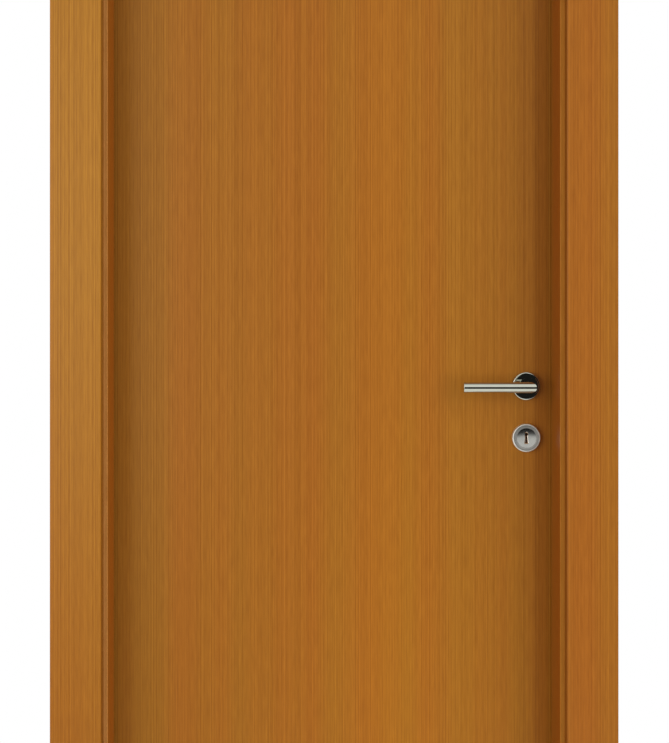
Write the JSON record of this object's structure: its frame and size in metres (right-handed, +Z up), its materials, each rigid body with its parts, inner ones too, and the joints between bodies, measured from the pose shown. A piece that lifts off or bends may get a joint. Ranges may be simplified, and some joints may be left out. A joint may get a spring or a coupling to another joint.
{
  "type": "flush door in its frame",
  "caption": "Flush interior door leaf in straight-grained wood veneer, hung on butt hinges in a rebated frame with casings, with a mitred lever handle and key roses.",
  "frame": {"origin": "on the hinge jamb's wall face, at floor level, half way through the wall", "axes": "+Z up, -Y towards the front of the door, -X out of the hinge jamb into the wall, +X from the hinges towards the lock"},
  "size_m": [1.0075, 0.1925, 2.211],
  "materials": {
    "leaf_veneer": "straight-grained golden brown veneer, satin lacquer",
    "jamb_veneer": "straight-grained golden brown veneer, satin lacquer",
    "casing_veneer": "straight-grained golden brown veneer, satin lacquer",
    "edge_timber": "veneered edge, satin lacquer",
    "core_board": "raw board",
    "door_seal": "soft dark brown sealing strip",
    "polished_chrome": "polished plating",
    "satin_chrome": "satin plating",
    "hinge_steel": "brushed steel",
    "lock_steel": "brushed steel"
  },
  "bodies": {
    "frame": {"hinge_jamb": "jamb_veneer", "strike_jamb": "jamb_veneer", "head_jamb": "jamb_veneer", "front_casing_hinge_side": "casing_veneer", "front_casing_strike_side": "casing_veneer", "front_casing_head": "casing_veneer", "back_casing_hinge_side": "casing_veneer", "back_casing_strike_side": "casing_veneer", "back_casing_head": "casing_veneer", "hinge_side_seal": "door_seal", "strike_side_seal": "door_seal", "head_seal": "door_seal", "strike_plate": "lock_steel", "frame_hinge_upper": "hinge_steel", "frame_hinge_middle": "hinge_steel", "frame_hinge_lower": "hinge_steel", "hinge_pin_upper": "hinge_steel", "hinge_pin_middle": "hinge_steel", "hinge_pin_lower": "hinge_steel"},
    "leaf": {"leaf_front_skin": "leaf_veneer", "leaf_back_skin": "leaf_veneer", "leaf_hinge_stile": "edge_timber", "leaf_lock_stile": "edge_timber", "leaf_top_rail": "edge_timber", "leaf_bottom_rail": "edge_timber", "leaf_core": "core_board", "lock_case": "lock_steel", "lock_faceplate": "lock_steel", "latch_bolt": "lock_steel", "dead_bolt": "lock_steel", "leaf_hinge_upper": "hinge_steel", "leaf_hinge_middle": "hinge_steel", "leaf_hinge_lower": "hinge_steel", "front_handle_rose": "polished_chrome", "back_handle_rose": "polished_chrome", "front_key_rose": "satin_chrome", "back_key_rose": "satin_chrome"},
    "handle": {"front_lever": "polished_chrome", "back_lever": "polished_chrome", "spindle": "lock_steel"}
  },
  "joints": [
    {"name": "leaf_swing", "type": "hinge", "parent": "frame", "child": "leaf", "pos_m": [0.0255, 0.067, 1.083], "axis": [0, 0, 1], "range_deg": [0, 145]},
    {"name": "lever_turn", "type": "hinge", "parent": "leaf", "child": "handle", "pos_m": [0.773, 0.04, 1.05], "axis": [0, -1, 0], "range_deg": [0, 45], "stiffness_Nm_per_rad": 1.2, "springref_deg": -45.84}
  ]
}
